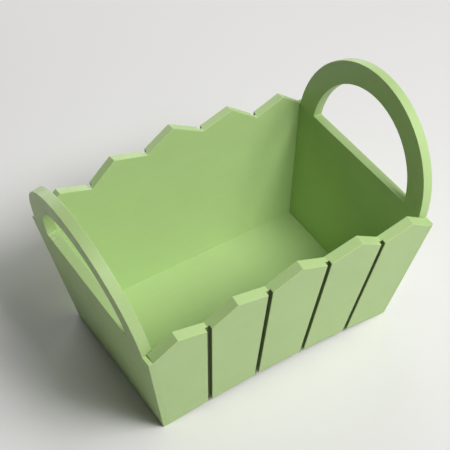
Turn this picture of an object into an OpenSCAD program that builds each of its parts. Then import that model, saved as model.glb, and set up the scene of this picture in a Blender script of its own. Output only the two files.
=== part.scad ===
// Open wooden basket with two long picket-topped sides, two leaning end boards that rise
// into arched handles, and a floor board. The ends are rebated over the long sides.
// Millimetres, +Z up, +X along the length. The origin is at the middle of the footprint,
// on the surface that the basket stands on.

/* [Overall] */
// Outside length where the basket meets the ground
base_length = 249; // [160:1:400]
// Outside width where the basket meets the ground
base_width = 158; // [110:1:260]
// Outward lean of the two end boards, in degrees
end_lean = 10.6; // [4:0.1:16]
// Outward lean of the two long sides, in degrees
side_lean = 10.3; // [4:0.1:16]
// Height of the sides at the corners, measured up their slope
corner_height = 131; // [90:1:200]

/* [Boards] */
// Thickness of the sides and the ends
board_thickness = 10; // [7:0.5:14]
// Thickness of the lip that each end board laps over the ends of the sides
lip_thickness = 4.7; // [3:0.1:6]
// Thickness of the floor board
floor_thickness = 5; // [4:0.5:8]
// Height of the floor board's underside above the ground
floor_height = 9.6; // [6:0.1:20]
// Gap left at each end of the floor board
floor_gap = 0.3; // [0:0.1:1]
// Rise of the shallow arch along the bottom edge of each side
foot_arch_rise = 10.5; // [2:0.1:16]

/* [Pickets] */
// Rise of the middle picket's point above the corners
middle_point_rise = 34.6; // [22:0.1:50]
// Rise of the second and fourth pickets' points above the corners
next_point_rise = 27.4; // [20:0.1:45]
// Rise of the outer pickets' points above the corners
outer_point_rise = 17.7; // [10:0.1:30]
// Rise of the notches beside the middle picket above the corners
inner_notch_rise = 18.2; // [10:0.1:20]
// Rise of the notches beside the outer pickets above the corners
outer_notch_rise = 7.8; // [2:0.1:9]
// Distance that the second and fourth points sit outward of their pickets' middles
next_point_shift = 2.4; // [0:0.1:5]
// Width of the grooves that divide the pickets
groove_width = 4.4; // [2:0.1:7]
// Depth of the grooves, cut in the outer face only
groove_depth = 4.5; // [1:0.1:6]

/* [Handles] */
// Width of the band of wood round each hand hole
handle_band = 22.4; // [14:0.1:30]
// Straight stretch between the shoulder and the start of the handle's curve
handle_straight = 3.6; // [1:0.1:15]

/* [Pins] */
// Length of each panel pin, with its head
pin_length = 20; // [16:0.5:28]
// Diameter of the pins' shanks
pin_shank_d = 1.2; // [1:0.1:1.6]
// Diameter of the pins' heads
pin_head_d = 2; // [1.8:0.1:2.6]
// Thickness of the pins' heads
pin_head_t = 0.8; // [0.5:0.1:1]
// Depth that the heads are set below the face
pin_set = 0.6; // [0.3:0.1:1]
// Distance of the first and last corner pin from the ends of the joint, up the slope
corner_pin_margin = 22; // [18:1:35]
// Distance from the middle of an end board to the outer pins into the floor
end_pin_offset = 48; // [25:1:60]
// Distance of the side boards' floor pins from the basket's outer ends
side_pin_inset = 25; // [22:1:50]

/* [Hidden] */

paint = [0.66, 0.78, 0.53];
steel = [0.72, 0.73, 0.75];
round_fn = 180;
pin_fn = 32;
pickets = 5;
corner_pin_count = 3;

// How far a side of the basket has moved outward at height z, less an inset square to it
function end_x(z, inset = 0) = base_length / 2 + z * tan(end_lean) - inset / cos(end_lean);
function side_y(z, inset = 0) = base_width / 2 + z * tan(side_lean) - inset / cos(side_lean);

// Half the length of a side board's outer face, v up its slope
function half_length(v) = end_x(v * cos(side_lean));

// The corners' height above the ground, and the same level up the end boards' slope
corner_z = corner_height * cos(side_lean);
shoulder_v = corner_z / cos(end_lean);

// The handle is as wide as the basket is inside at the corners
handle_r = side_y(corner_z, board_thickness);
handle_v = shoulder_v + handle_straight;
hand_hole_r = handle_r - handle_band;

// Well above and well below everything, for the cutting prisms
reach = 2 * (handle_v + handle_r);
below = 2 * board_thickness;

// The foot arch springs from the side board's own bottom corners
foot_chord = 2 * end_x(0, lip_thickness);
foot_arch_r = (foot_chord * foot_chord / 4 + foot_arch_rise * foot_arch_rise) / (2 * foot_arch_rise);

// Pickets and grooves are counted outward from the middle, in half picket widths
function picket_x(halves, v) = half_length(v) * halves / pickets;
middle_point_v = corner_height + middle_point_rise;
next_point_v = corner_height + next_point_rise;
outer_point_v = corner_height + outer_point_rise;
inner_notch_v = corner_height + inner_notch_rise;
outer_notch_v = corner_height + outer_notch_rise;
// The outer pickets' slopes come down to the corners' height where they meet the ends' lips
half_top = [
    [picket_x(1, inner_notch_v), inner_notch_v],
    [picket_x(2, next_point_v) + next_point_shift, next_point_v],
    [picket_x(3, outer_notch_v), outer_notch_v],
    [picket_x(4, outer_point_v), outer_point_v],
    [half_length(corner_height) - lip_thickness / cos(end_lean), corner_height],
    [half_length(corner_height) + board_thickness, corner_height],
    [half_length(corner_height) + board_thickness, -below]
];
groove_halves = [-3, -1, 1, 3];

floor_pin_z = floor_height + floor_thickness / 2;

// The space between the planes of the two end boards, above the ground
module between_ends(inset)
    rotate([90, 0, 0])
        linear_extrude(height = 2 * reach, center = true)
            polygon([[-end_x(0, inset), 0], [end_x(0, inset), 0],
                     [end_x(reach, inset), reach], [-end_x(reach, inset), reach]]);

// The space between the planes of the two side boards, above the ground
module between_sides(inset)
    rotate([90, 0, 90])
        linear_extrude(height = 2 * reach, center = true)
            polygon([[-side_y(0, inset), 0], [side_y(0, inset), 0],
                     [side_y(reach, inset), reach], [-side_y(reach, inset), reach]]);

// Lays flat work on the front side's outer face: Y runs up the slope and Z points outward
module on_side()
    translate([0, -base_width / 2, 0])
        rotate([90 + side_lean, 0, 0])
            children();

// The same for the right end board's outer face, where X runs along the basket's Y
module on_end()
    translate([base_length / 2, 0, 0])
        rotate([0, end_lean, 0])
            rotate([90, 0, 90])
                children();

// Cuts a flat outline to a thickness, inward from the face
module board(thickness)
    translate([0, 0, -thickness])
        linear_extrude(height = thickness)
            children();

module picket_outline()
    polygon(concat(
        [for (i = [len(half_top) - 1 : -1 : 0]) [-half_top[i][0], half_top[i][1]]],
        [[0, middle_point_v]],
        half_top));

module foot_arch()
    translate([0, foot_arch_rise - foot_arch_r, 0])
        cylinder(h = 4 * board_thickness, r = foot_arch_r, center = true, $fn = 2 * round_fn);

// A groove fans out with the pickets, so it points at the same share of the length all the way
module groove(halves)
    translate([picket_x(halves, 0), 0, 0])
        rotate([0, 0, -atan((picket_x(halves, reach) - picket_x(halves, 0)) / reach)])
            translate([-groove_width / 2, -below, -groove_depth])
                cube([groove_width, reach, groove_depth + board_thickness]);

module side_board()
    color(paint)
        difference() {
            intersection() {
                on_side() board(board_thickness) picket_outline();
                between_ends(lip_thickness);
            }
            on_side() {
                foot_arch();
                for (halves = groove_halves) groove(halves);
            }
            both_ways([1, 0, 0]) corner_pins(true);
            floor_pins_through_side(true);
        }

module handle_outline() {
    translate([-handle_r, -below]) square([2 * handle_r, handle_v + below]);
    translate([0, handle_v]) circle(r = handle_r, $fn = round_fn);
}

// Flat side down, level with the middle of the handle's curve
module hand_hole()
    on_end()
        translate([0, handle_v, 0])
            intersection() {
                cylinder(h = 4 * board_thickness, r = hand_hole_r, center = true, $fn = round_fn);
                translate([-reach, 0, -reach]) cube(2 * reach);
            }

// The lips' tops are cut level at the corners' height
module lip_top()
    translate([-reach, -reach, -below])
        cube([2 * reach, 2 * reach, corner_z + below]);

module lip_slab()
    on_end()
        board(lip_thickness)
            translate([-reach, -below]) square([2 * reach, 2 * reach]);

module end_board()
    color(paint)
        difference() {
            union() {
                intersection() {
                    on_end() board(board_thickness) handle_outline();
                    between_sides(board_thickness);
                }
                intersection() {
                    lip_slab();
                    lip_top();
                    between_sides(0);
                }
            }
            hand_hole();
            both_ways([0, 1, 0]) mirror([0, 1, 0]) corner_pins(true);
            floor_pins_through_end(true);
        }

module both_ways(axis) {
    children();
    mirror(axis) children();
}

// A pin with its head's top at the origin, driven down -Z.
// As a hole it is open above the head, where the head was set below the face.
module pin(hole) {
    translate([0, 0, -pin_length]) cylinder(h = pin_length, d = pin_shank_d, $fn = pin_fn);
    translate([0, 0, -pin_head_t])
        cylinder(h = pin_head_t + (hole ? 2 * pin_set : 0), d = pin_head_d, $fn = pin_fn);
}

// Three pins through the right end's lip into the front side, along the middle of its thickness
module corner_pins(hole = false)
    for (i = [0 : corner_pin_count - 1]) {
        v = corner_pin_margin + i * (shoulder_v - 2 * corner_pin_margin) / (corner_pin_count - 1);
        on_end()
            translate([-side_y(v * cos(end_lean), board_thickness / 2), v, -pin_set]) pin(hole);
    }

// Level pins through a side board into the floor's edge, clear of the arch and the grooves
module floor_pins_through_side(hole = false)
    both_ways([1, 0, 0])
        translate([base_length / 2 - side_pin_inset, pin_set - side_y(floor_pin_z), floor_pin_z])
            rotate([90, 0, 0]) pin(hole);

// Level pins through an end board into the floor's edge
module floor_pins_through_end(hole = false)
    for (y = [-end_pin_offset, 0, end_pin_offset])
        translate([end_x(floor_pin_z) - pin_set, y, floor_pin_z])
            rotate([0, 90, 0]) pin(hole);

module front_side_board() side_board();
module back_side_board() mirror([0, 1, 0]) side_board();
module right_end_board() end_board();
module left_end_board() mirror([1, 0, 0]) end_board();

module floor_board()
    color(paint)
        difference() {
            intersection() {
                between_ends(board_thickness + floor_gap);
                between_sides(board_thickness);
                translate([-reach, -reach, floor_height])
                    cube([2 * reach, 2 * reach, floor_thickness]);
            }
            both_ways([0, 1, 0]) floor_pins_through_side(true);
            both_ways([1, 0, 0]) floor_pins_through_end(true);
        }

module corner_pins_front_right() color(steel) corner_pins();
module corner_pins_front_left() color(steel) mirror([1, 0, 0]) corner_pins();
module corner_pins_back_right() color(steel) mirror([0, 1, 0]) corner_pins();
module corner_pins_back_left() color(steel) mirror([1, 0, 0]) mirror([0, 1, 0]) corner_pins();
module floor_pins_front() color(steel) floor_pins_through_side();
module floor_pins_back() color(steel) mirror([0, 1, 0]) floor_pins_through_side();
module floor_pins_right() color(steel) floor_pins_through_end();
module floor_pins_left() color(steel) mirror([1, 0, 0]) floor_pins_through_end();

front_side_board();
back_side_board();
left_end_board();
right_end_board();
floor_board();
corner_pins_front_left();
corner_pins_front_right();
corner_pins_back_left();
corner_pins_back_right();
floor_pins_front();
floor_pins_back();
floor_pins_left();
floor_pins_right();
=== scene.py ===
import math

import bmesh
import bpy
from mathutils import Matrix, Vector


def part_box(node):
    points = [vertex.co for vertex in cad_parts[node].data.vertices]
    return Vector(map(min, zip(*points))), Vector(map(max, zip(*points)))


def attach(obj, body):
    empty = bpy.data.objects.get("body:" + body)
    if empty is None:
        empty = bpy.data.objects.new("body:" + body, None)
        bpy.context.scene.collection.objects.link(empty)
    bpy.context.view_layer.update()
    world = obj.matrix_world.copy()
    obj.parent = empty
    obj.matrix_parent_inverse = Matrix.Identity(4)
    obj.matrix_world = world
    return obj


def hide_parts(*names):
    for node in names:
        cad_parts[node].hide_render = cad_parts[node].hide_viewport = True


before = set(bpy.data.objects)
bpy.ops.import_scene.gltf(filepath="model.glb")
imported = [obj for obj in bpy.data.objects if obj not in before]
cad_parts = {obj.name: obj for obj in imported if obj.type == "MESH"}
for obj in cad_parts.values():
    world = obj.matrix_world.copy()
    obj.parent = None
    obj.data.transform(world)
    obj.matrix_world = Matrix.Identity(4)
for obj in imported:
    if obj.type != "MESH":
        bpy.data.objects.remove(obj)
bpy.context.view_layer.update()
print("frame loaded:", len(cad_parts), "nodes")

mm = 0.001
same = 0.001 * mm  # points closer than this are one
touching = 0.01 * mm  # and boards closer than this close against each other

# The basket's own sizes, as in the design, in mm and degrees, as in each board's dictionary
basket = {
    "baseLength": 249, "baseWidth": 158,
    "endLean": 10.6, "sideLean": 10.3,
    "cornerHeight": 131,  # up the slope of a side
    "board": 10, "lip": 4.7,
}
endLean = math.radians(basket["endLean"])
sideLean = math.radians(basket["sideLean"])
board = basket["board"] * mm
lip = basket["lip"] * mm
cornerHeight = basket["cornerHeight"] * mm
cornerZ = cornerHeight * math.cos(sideLean)


def endX(z, inset=0.0):  # how far out the end boards are at height z
    return basket["baseLength"] * mm / 2 + z * math.tan(endLean) - inset / math.cos(endLean)


def sideY(z, inset=0.0):  # the same for the long sides
    return basket["baseWidth"] * mm / 2 + z * math.tan(sideLean) - inset / math.cos(sideLean)


def halfLength(v):  # half the length of a side's outer face, v up its slope
    return endX(v * math.cos(sideLean))


# Flat work is drawn with its outer face at z = 0 and its thickness below, then stood up and leaned
quarterTurn = math.pi / 2
onSide = (Matrix.Translation((0, -basket["baseWidth"] * mm / 2, 0))
          @ Matrix.Rotation(quarterTurn + sideLean, 4, "X"))
onEnd = (Matrix.Translation((basket["baseLength"] * mm / 2, 0, 0)) @ Matrix.Rotation(endLean, 4, "Y")
         @ Matrix.Rotation(quarterTurn, 4, "Z") @ Matrix.Rotation(quarterTurn, 4, "X"))


def newMaterial(name):
    mat = bpy.data.materials.new(name)
    mat.use_nodes = True
    tree = mat.node_tree
    return mat, tree, tree.nodes["Principled BSDF"]


def noiseNode(tree, coords, scale, detail=4.0, rough=0.5):
    node = tree.nodes.new("ShaderNodeTexNoise")
    node.inputs["Scale"].default_value = scale
    node.inputs["Detail"].default_value = detail
    node.inputs["Roughness"].default_value = rough
    tree.links.new(coords, node.inputs["Vector"])
    return node


def mapTo(tree, value, low, high, fromLow=0.3, fromHigh=0.7):  # most of a noise lies from 0.3 to 0.7
    node = tree.nodes.new("ShaderNodeMapRange")
    node.inputs["From Min"].default_value = fromLow
    node.inputs["From Max"].default_value = fromHigh
    node.inputs["To Min"].default_value = low
    node.inputs["To Max"].default_value = high
    tree.links.new(value, node.inputs["Value"])
    return node.outputs["Result"]


def mixColour(tree, factor, first, second):  # a colour is a value, or the socket that it comes from
    node = tree.nodes.new("ShaderNodeMix")
    node.data_type = "RGBA"
    for name, colour in (("A", first), ("B", second)):
        if isinstance(colour, tuple):
            node.inputs[name].default_value = colour
        else:
            tree.links.new(colour, node.inputs[name])
    tree.links.new(factor, node.inputs["Factor"])
    return node.outputs["Result"]


paint = {
    "green": (0.434, 0.600, 0.250),  # linear
    "mottle": 0.035,  # how far the tone wanders each way
    "patches": 16,  # cloudy patches per metre
    "marksShare": 0.35,  # how much of the mottle follows the brush marks
    "roughness": 0.42,
    "sheenSpots": 70,  # per metre
    "shinier": 0.05, "duller": 0.06,  # how far the roughness wanders in them
    "index": 1.47,
    "marksAlong": 18, "marksAcross": 300,  # brush marks per metre
    "marksDepth": 0.05,  # mm
    "stipple": 1100,  # fine bumps per metre
    "stippleDepth": 0.03,  # mm
    "bumpStrength": 0.6,
    "arrisHighlightTone": 1.05,  # tone of the arrises: painted highlight, lighter to stand in for the light the softened edges catch
    "grooveShadeTone": 0.36,  # tone down in the grooves: painted shade, darker to stand in for the shade deep in them
    "edgeRougher": 0.07, "grooveRougher": 0.1, "arrisRougher": -0.04,  # added to the roughness
}

scuff = {
    "colour": (0.60, 0.72, 0.48),
    "place": (-146.5, 58, 133),  # mm, on the left hand hole's sill near its back corner
    "reach": 15,  # mm
    "specks": 420,  # per metre
    "speckFrom": 0.5, "speckTo": 0.62,  # the noise where a speck starts and where it is full
    "fadeFrom": 0.1, "fadeTo": 0.6,  # the same for nearness, which is 1 at the place and 0 at the reach
    "cover": 0.7,
}


def bumpNode(tree, height, depth, before=None):
    node = tree.nodes.new("ShaderNodeBump")
    node.inputs["Distance"].default_value = depth * mm
    node.inputs["Strength"].default_value = paint["bumpStrength"]
    tree.links.new(height, node.inputs["Height"])
    if before:
        tree.links.new(before, node.inputs["Normal"])
    return node.outputs["Normal"]


def scuffed(tree, coords, colour):  # the colour with flecks rubbed paler about one place
    near = tree.nodes.new("ShaderNodeMapping")
    near.inputs["Location"].default_value = [-c / scuff["reach"] for c in scuff["place"]]
    near.inputs["Scale"].default_value = [1 / (scuff["reach"] * mm)] * 3
    ball = tree.nodes.new("ShaderNodeTexGradient")
    ball.gradient_type = "SPHERICAL"
    tree.links.new(coords, near.inputs["Vector"])
    tree.links.new(near.outputs["Vector"], ball.inputs["Vector"])
    flecks = noiseNode(tree, coords, scuff["specks"], 5, 0.7).outputs["Fac"]
    specks = mapTo(tree, flecks, 0, 1, scuff["speckFrom"], scuff["speckTo"])
    fade = mapTo(tree, ball.outputs["Fac"], 0, scuff["cover"], scuff["fadeFrom"], scuff["fadeTo"])
    rubbed = tree.nodes.new("ShaderNodeMath")
    rubbed.operation = "MULTIPLY"
    tree.links.new(fade, rubbed.inputs[0])
    tree.links.new(specks, rubbed.inputs[1])
    return mixColour(tree, rubbed.outputs["Value"], colour, (*scuff["colour"], 1))


def paintMaterial(name, along, tone=1.0, rougher=0.0, isScuffed=False):
    mat, tree, shader = newMaterial(name)
    coords = tree.nodes.new("ShaderNodeTexCoord").outputs["Object"]
    # brush marks run along the board
    drawn = tree.nodes.new("ShaderNodeMapping")
    drawn.inputs["Scale"].default_value = [paint["marksAlong"] if axis == along else paint["marksAcross"]
                                           for axis in "XYZ"]
    tree.links.new(coords, drawn.inputs["Vector"])
    marks = noiseNode(tree, drawn.outputs["Vector"], 1, rough=0.6).outputs["Fac"]
    patches = noiseNode(tree, coords, paint["patches"], rough=0.55).outputs["Fac"]
    cloud = tree.nodes.new("ShaderNodeMix")
    cloud.inputs["Factor"].default_value = paint["marksShare"]
    tree.links.new(patches, cloud.inputs["A"])
    tree.links.new(marks, cloud.inputs["B"])
    low, high = [tuple(c * tone * (1 + sign * paint["mottle"]) for c in paint["green"]) + (1,)
                 for sign in (-1, 1)]
    colour = mixColour(tree, mapTo(tree, cloud.outputs["Result"], 0, 1), low, high)
    if isScuffed:
        colour = scuffed(tree, coords, colour)
    tree.links.new(colour, shader.inputs["Base Color"])
    sheen = noiseNode(tree, coords, paint["sheenSpots"], 5).outputs["Fac"]
    middle = paint["roughness"] + rougher
    tree.links.new(mapTo(tree, sheen, middle - paint["shinier"], middle + paint["duller"]),
                   shader.inputs["Roughness"])
    brushed = bumpNode(tree, marks, paint["marksDepth"])
    stipple = noiseNode(tree, coords, paint["stipple"], 3, 0.6).outputs["Fac"]
    tree.links.new(bumpNode(tree, stipple, paint["stippleDepth"], brushed), shader.inputs["Normal"])
    shader.inputs["IOR"].default_value = paint["index"]
    return mat


faceSlot, edgeSlot, grooveSlot, arrisSlot = range(4)


def boardPaints(name, along, isScuffed=False):  # in the order of the slots above
    return [paintMaterial(name + "Face", along),
            paintMaterial(name + "Edge", along, rougher=paint["edgeRougher"], isScuffed=isScuffed),
            # painted shade: the groove paint is drawn darker for the shade deep in the grooves
            paintMaterial(name + "Groove", along, tone=paint["grooveShadeTone"], rougher=paint["grooveRougher"]),
            # painted highlight: the arris paint is drawn lighter for the light that the softened edges
            # catch
            paintMaterial(name + "Arris", along, tone=paint["arrisHighlightTone"], rougher=paint["arrisRougher"])]


sidePaints = boardPaints("side", "X")
endPaints = boardPaints("end", "Y")
leftPaints = boardPaints("leftEnd", "Y", isScuffed=True)

pin = {
    "steel": (0.5, 0.51, 0.53),
    "grain": 2500,  # per metre
    "shiniest": 0.25, "dullest": 0.4,
}
pinSteel, pinTree, pinShader = newMaterial("pinSteel")
pinShader.inputs["Metallic"].default_value = 1.0
pinShader.inputs["Base Color"].default_value = (*pin["steel"], 1)
pinCoords = pinTree.nodes.new("ShaderNodeTexCoord").outputs["Object"]
pinGrain = noiseNode(pinTree, pinCoords, pin["grain"]).outputs["Fac"]
pinTree.links.new(mapTo(pinTree, pinGrain, pin["shiniest"], pin["dullest"]), pinShader.inputs["Roughness"])
print("materials made")


finish = {
    "arris": 0.5,  # how far the exposed edges are softened
    "joint": 0.12,  # the same at edges that close against another board
    "segments": 3,
    "edgeBend": 12,  # degrees, faces that meet at more than this have an edge between them
    "flatBend": 0.15,  # degrees, and at less than this they are one face
    "square": 0.99,  # how nearly a face looks along an axis to count as square to it, 1 being exactly
}


def extrudeBy(bm, faces, distance):
    # the edges go too, so that faces with neighbours leave nothing behind inside the board
    edges = [edge for edge in bm.edges if any(face in faces for face in edge.link_faces)]
    made = bmesh.ops.extrude_face_region(bm, geom=faces + edges)["geom"]
    verts = [g for g in made if isinstance(g, bmesh.types.BMVert)]
    bmesh.ops.translate(bm, vec=(0, 0, distance), verts=verts)


def cleanUp(bm):
    bmesh.ops.remove_doubles(bm, verts=bm.verts, dist=same)
    bmesh.ops.dissolve_limit(bm, angle_limit=math.radians(finish["flatBend"]), verts=bm.verts,
                             edges=bm.edges)
    bmesh.ops.recalc_face_normals(bm, faces=bm.faces)


def pieceFrom(bm, name, node, paints, isJoint, faceNormal, isGroove=lambda face: False):
    # Faces square to faceNormal are the board's two faces, and the rest are its cut edges
    for face in bm.faces:
        isFace = abs(face.normal.dot(faceNormal)) > finish["square"]
        face.smooth = True
        face.material_index = grooveSlot if isGroove(face) else faceSlot if isFace else edgeSlot
    weights = bm.edges.layers.float.new("bevel_weight_edge")
    for edge in bm.edges:
        if edge.calc_face_angle() < math.radians(finish["edgeBend"]):
            continue
        if all(face.material_index == grooveSlot for face in edge.link_faces):
            edge.smooth = False  # a groove's inner corners stay sharp
        else:
            edge[weights] = finish["joint"] / finish["arris"] if isJoint(edge) else 1.0
    mesh = bpy.data.meshes.new(name)
    bm.to_mesh(mesh)
    bm.free()
    for mat in paints:
        mesh.materials.append(mat)
    obj = bpy.data.objects.new(name, mesh)
    bpy.context.scene.collection.objects.link(obj)
    bevel = obj.modifiers.new("arrises", "BEVEL")
    bevel.limit_method = "WEIGHT"
    bevel.width = finish["arris"] * mm
    bevel.segments = finish["segments"]
    bevel.harden_normals = True
    bevel.material = arrisSlot
    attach(obj, "root")
    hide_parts(node)


def mirrored(bm, axis):
    scale = [1, 1, 1]
    scale[axis] = -1
    bmesh.ops.scale(bm, vec=scale, verts=bm.verts)
    bmesh.ops.reverse_faces(bm, faces=bm.faces)


pickets = {
    "count": 5,
    "points": [34.6, 27.4, 17.7],  # above the corners, from the middle picket out
    "notches": [18.2, 7.8],
    "pointShift": [0, 2.4, 0],  # outward of the picket's middle
    "grooveWidth": 4.4, "grooveDepth": 4.5,
    "footRise": 10.5,
    "footSteps": 48,
    "grooveSide": 0.8,  # how nearly a face looks along X to be the side of a groove, 1 being exactly
    "endSlack": 2.5,  # how far from the end boards the flat outline's ends may fall before they are set
}


def picketX(halves, v):  # counted out from the middle in half pickets
    return halfLength(v) * halves / pickets["count"]


def sideBoard(name, node, back):
    bm = bmesh.new()
    depth = pickets["grooveDepth"] * mm
    # the arched foot: one corner turned about the arch's centre
    half = endX(0, lip)
    rise = pickets["footRise"] * mm
    radius = (half * half + rise * rise) / (2 * rise)
    turn = 2 * math.asin(half / radius)
    corner = bm.verts.new((half, 0, 0))
    bmesh.ops.spin(bm, geom=[corner], cent=(0, rise - radius, 0), axis=(0, 0, 1), angle=turn,
                   steps=pickets["footSteps"])
    bm.verts.ensure_lookup_table()
    foot = sorted(bm.verts, key=lambda v: v.co.x)
    # the row of points above it
    right = []
    for halves in range(1, pickets["count"]):
        peak = halves % 2 == 0
        rises = pickets["points"] if peak else pickets["notches"]
        v = cornerHeight + rises[halves // 2] * mm
        shift = pickets["pointShift"][halves // 2] * mm if peak else 0
        right.append((picketX(halves, v) + shift, v))
    right.append((halfLength(cornerHeight) - lip / math.cos(endLean), cornerHeight))
    top = [(-x, v) for x, v in reversed(right)] + [(0, cornerHeight + pickets["points"][0] * mm)] + right
    crown = [bm.verts.new((x, v, 0)) for x, v in top]
    bm.faces.new(foot + crown[::-1])
    # groove sides fan out with the pickets
    for halves in range(2 - pickets["count"], pickets["count"], 2):
        lean = math.atan(picketX(halves, 1) - picketX(halves, 0))
        across = Vector((math.cos(lean), -math.sin(lean), 0))
        for side in (-1, 1):
            middle = Vector((picketX(halves, 0), 0, 0)) + across * side * pickets["grooveWidth"] * mm / 2
            bmesh.ops.bisect_plane(bm, geom=bm.verts[:] + bm.edges[:] + bm.faces[:], dist=same,
                                   plane_co=middle, plane_no=across)
    # pickets and grooves take turns: all of them reach down to the back, and the pickets up to the front
    bmesh.ops.translate(bm, vec=(0, 0, -depth), verts=bm.verts)
    strips = sorted(bm.faces, key=lambda f: f.calc_center_median().x)
    extrudeBy(bm, strips, depth - board)
    extrudeBy(bm, strips[::2], depth)
    bmesh.ops.transform(bm, matrix=onSide, verts=bm.verts)
    # the ends close against the lips of the leaning end boards
    for vert in bm.verts:
        reach = endX(vert.co.z, lip)
        if abs(abs(vert.co.x) - reach) < pickets["endSlack"] * mm:
            vert.co.x = math.copysign(reach, vert.co.x)
    cleanUp(bm)
    normal = Vector((0, -math.cos(sideLean), -math.sin(sideLean)))
    if back:
        mirrored(bm, 1)
        normal.y = -normal.y

    def isEnd(place):  # where the board closes against the lips
        return abs(abs(place.x) - endX(place.z, lip)) < touching

    def isJoint(edge):
        return all(isEnd(v.co) for v in edge.verts)

    def isGroove(face):
        middle = face.calc_center_median()
        sunk = (sideY(middle.z) - abs(middle.y)) * math.cos(sideLean)
        if isEnd(middle) or not touching < sunk < depth + touching:
            return False
        isFloor = abs(face.normal.dot(normal)) > finish["square"]
        return isFloor or abs(face.normal.x) > pickets["grooveSide"]

    pieceFrom(bm, name, node, sidePaints, isJoint, normal, isGroove)


sideBoard("frontSide", "front_side_board", False)
sideBoard("backSide", "back_side_board", True)
print("sides made")


handle = {
    "band": 22.4,
    "straight": 3.6,  # from the corners up to where the arch starts
    "steps": 72,
}


def endBoard(name, node, left, paints):
    bm = bmesh.new()
    spots = bm.verts.layers.int.new("spot")
    shoulder = cornerZ / math.cos(endLean)
    radius = sideY(cornerZ, board)
    hole = radius - handle["band"] * mm
    springing = shoulder + handle["straight"] * mm

    def row(v, widths, names=(0, 0, 0, 0)):
        verts = [bm.verts.new((w, v, 0)) for w in widths]
        for vert, spot in zip(verts, names):
            vert[spots] = spot
        return verts

    # the numbers name the corners that are put exactly in place once the board stands
    low = row(0, [-sideY(0), -sideY(0, board), sideY(0, board), sideY(0)], (1, 2, 2, 1))
    mid = row(shoulder, [-sideY(cornerZ), -radius, radius, sideY(cornerZ)], (4, 3, 3, 4))
    top = row(springing, [-radius, -hole, hole, radius])
    ears = [bm.faces.new((low[0], low[1], mid[1], mid[0])), bm.faces.new((low[2], low[3], mid[3], mid[2]))]
    bm.faces.new((low[1], low[2], mid[2], mid[1]))
    bm.faces.new((mid[1], mid[2], top[3], top[2], top[1], top[0]))
    # the handle: the right-hand band turned half a circle to meet the left-hand one
    band = bm.edges.get((top[2], top[3]))
    bmesh.ops.spin(bm, geom=[band, top[2], top[3]], cent=(0, springing, 0), axis=(0, 0, 1), angle=math.pi,
                   steps=handle["steps"])
    bmesh.ops.remove_doubles(bm, verts=bm.verts, dist=same)
    bmesh.ops.recalc_face_normals(bm, faces=bm.faces)
    # the whole outline starts as thick as the lips, and all but the ears then gets the board's thickness
    bmesh.ops.translate(bm, vec=(0, 0, -lip), verts=bm.verts)
    full = [face for face in bm.faces if face not in ears]
    extrudeBy(bm, bm.faces[:], lip)
    extrudeBy(bm, full, lip - board)
    bmesh.ops.transform(bm, matrix=onEnd, verts=bm.verts)
    # bottoms and ears are cut level, and the sides follow the long sides' lean
    places = {1: (sideY(0), 0), 2: (sideY(0, board), 0), 3: (radius, cornerZ), 4: (sideY(cornerZ), cornerZ)}
    for vert in bm.verts:
        if vert[spots]:
            depth = (endX(vert.co.z) - vert.co.x) * math.cos(endLean)
            inset = min((0, lip, board), key=lambda d: abs(d - depth))
            y, z = places[vert[spots]]
            vert.co = (endX(z, inset), math.copysign(y, vert.co.y), z)
    cleanUp(bm)
    normal = Vector((math.cos(endLean), 0, -math.sin(endLean)))
    if left:
        mirrored(bm, 0)
        normal.x = -normal.x

    def onShoulder(place):
        return abs(abs(place.y) - sideY(place.z, board)) < touching

    def onLip(place):
        return abs(abs(place.x) - endX(place.z, lip)) < touching

    def isJoint(edge):
        return all(onShoulder(v.co) or onLip(v.co) for v in edge.verts)

    pieceFrom(bm, name, node, paints, isJoint, normal)


endBoard("leftEnd", "left_end_board", True, leftPaints)
endBoard("rightEnd", "right_end_board", False, endPaints)
print("ends made")


floor = {"gap": 0.3}  # short of each end board


def floorBoard():
    low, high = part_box("floor_board")
    bm = bmesh.new()
    bmesh.ops.create_cube(bm, size=1)
    for vert in bm.verts:
        z = high.z if vert.co.z > 0 else low.z
        vert.co = (math.copysign(endX(z, board) - floor["gap"] * mm, vert.co.x),
                   math.copysign(sideY(z, board), vert.co.y), z)
    pieceFrom(bm, "floorBoard", "floor_board", sidePaints, lambda edge: True, Vector((0, 0, 1)))


floorBoard()

for node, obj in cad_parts.items():
    if "pins" in node:
        obj.data.materials.clear()
        obj.data.materials.append(pinSteel)
print("floor board and pins done")


studio = {  # metres, watts and degrees
    "floorTone": (0.80, 0.789, 0.782),
    "floorRoughness": 0.6,
    "floorReach": 6,
    "key": {"azimuth": -61, "elevation": 52, "distance": 2.4, "size": 1.09, "power": 41},
    "keyLeft": {"azimuth": -77, "elevation": 48, "distance": 2.4, "size": 0.78, "power": 9.5},
    "side": {"azimuth": -24, "elevation": 58, "distance": 1.6, "size": 0.7, "power": 4.6},
    "back": {"azimuth": 90, "elevation": 15, "distance": 2.5, "size": 1.3, "power": 20},
    "backRight": {"azimuth": 60, "elevation": 15, "distance": 2.5, "size": 1.3, "power": 15},
    "backLeft": {"azimuth": 120, "elevation": 15, "distance": 2.5, "size": 1.3, "power": 3.5},
    "sky": 0.005,
}

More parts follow.
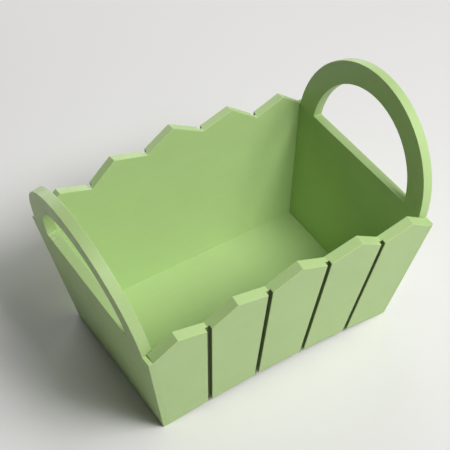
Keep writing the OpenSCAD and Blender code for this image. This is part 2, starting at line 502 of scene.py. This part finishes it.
bm = bmesh.new()
bmesh.ops.create_grid(bm, x_segments=1, y_segments=1, size=studio["floorReach"])
mesh = bpy.data.meshes.new("studioFloor")
bm.to_mesh(mesh)
bm.free()
studioFloor = bpy.data.objects.new("studioFloor", mesh)
bpy.context.scene.collection.objects.link(studioFloor)
floorMat, _, floorShader = newMaterial("paleFloor")
floorShader.inputs["Base Color"].default_value = (*studio["floorTone"], 1)
floorShader.inputs["Roughness"].default_value = studio["floorRoughness"]
mesh.materials.append(floorMat)

world = bpy.data.worlds.new("studio")
bpy.context.scene.world = world
world.use_nodes = True
sky = world.node_tree.nodes["Background"]
sky.inputs["Color"].default_value = (1, 1, 1, 1)
sky.inputs["Strength"].default_value = studio["sky"]


def outwards(azimuth, elevation):  # the azimuth is counted from +X towards +Y
    azimuth, elevation = math.radians(azimuth), math.radians(elevation)
    return Vector((math.cos(azimuth) * math.cos(elevation), math.sin(azimuth) * math.cos(elevation),
                   math.sin(elevation)))


def aim(obj, target, values):  # puts it out from the target and turns it to face there
    out = outwards(values["azimuth"], values["elevation"])
    obj.location = Vector(target) + out * values["distance"]
    obj.rotation_mode = "QUATERNION"
    obj.rotation_quaternion = (-out).to_track_quat("-Z", "Y")


def softLight(name, values):
    data = bpy.data.lights.new(name, "AREA")
    data.shape = "DISK"
    data.size = values["size"]
    data.energy = values["power"]
    lamp = bpy.data.objects.new(name, data)
    bpy.context.scene.collection.objects.link(lamp)
    aim(lamp, (0, 0, 0), values)


for name in ("key", "keyLeft", "side", "back", "backRight", "backLeft"):
    softLight(name + "Light", studio[name])

camera = {  # metres and degrees
    "azimuth": -123.0, "elevation": 45.8,
    "target": (0.0242, 0.0490, 0.0664),
    "distance": 1.321,
    "lens": 110.3, "sensor": 36,  # mm
}
camData = bpy.data.cameras.new("camera")
camData.lens = camera["lens"]
camData.sensor_width = camera["sensor"]
cam = bpy.data.objects.new("camera", camData)
bpy.context.scene.collection.objects.link(cam)
aim(cam, camera["target"], camera)
bpy.context.scene.camera = cam
bpy.context.scene.view_settings.view_transform = "Standard"
print("studio and camera set")
